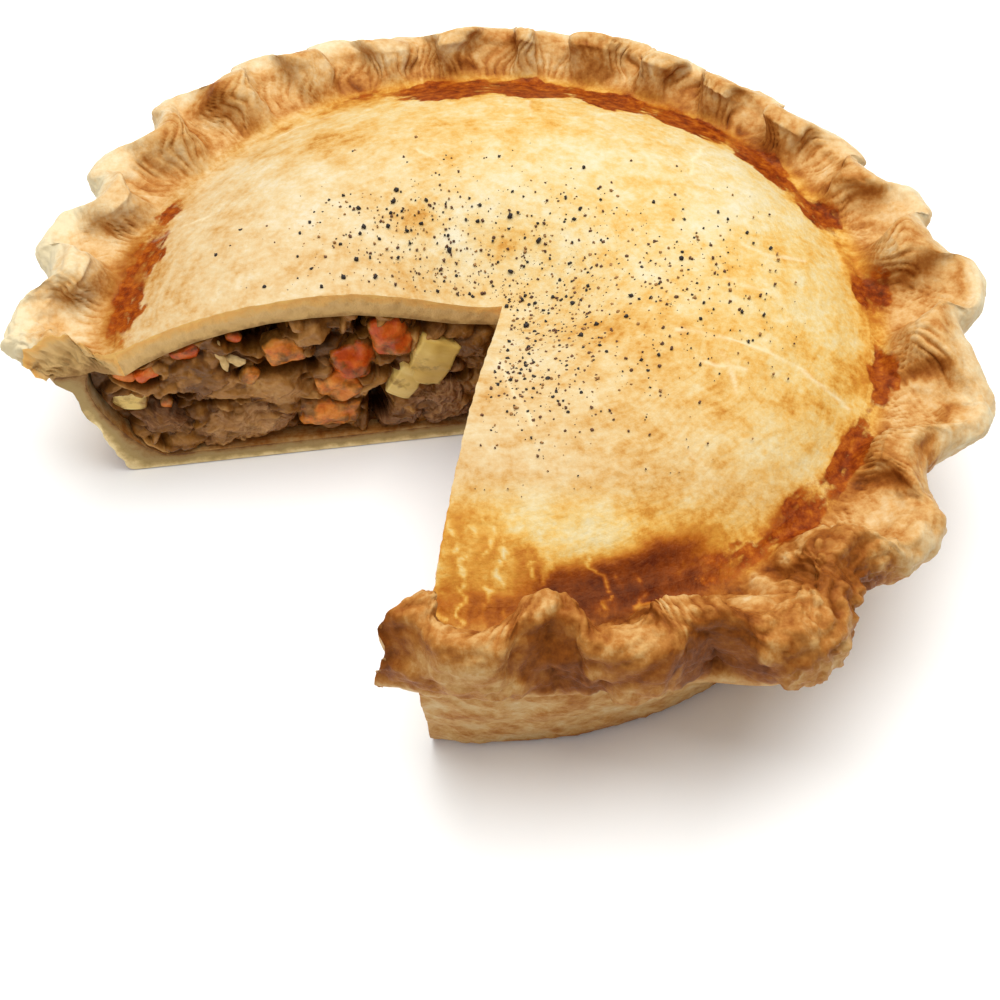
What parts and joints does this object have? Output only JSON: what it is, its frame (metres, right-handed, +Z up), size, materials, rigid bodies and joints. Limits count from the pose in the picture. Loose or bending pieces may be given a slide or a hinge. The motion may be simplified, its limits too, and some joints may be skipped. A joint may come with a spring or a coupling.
{
  "type": "steak pie",
  "caption": "Round deep steak pie with a fluted pastry rim, a peppered domed lid and one slice cut out, showing a chunky beef and vegetable filling.",
  "frame": {"origin": "middle of the pie's box, on the surface the base stands on", "axes": "+Z up through the pie, +Y to the back of the pie as pictured, +X to its right, with the missing slice towards -X and -Y"},
  "size_m": [0.2457, 0.2299, 0.0587],
  "materials": {
    "lid_crust": "egg-glazed golden pastry, satin with a glossier front groove",
    "base_crust": "pale baked pastry, matt and flaky",
    "filling": "moist brown gravy with beef, carrot, tomato and celery"
  },
  "bodies": {
    "root": {"lid_crust": "lid_crust", "base_crust": "base_crust", "filling": "filling"}
  },
  "joints": []
}
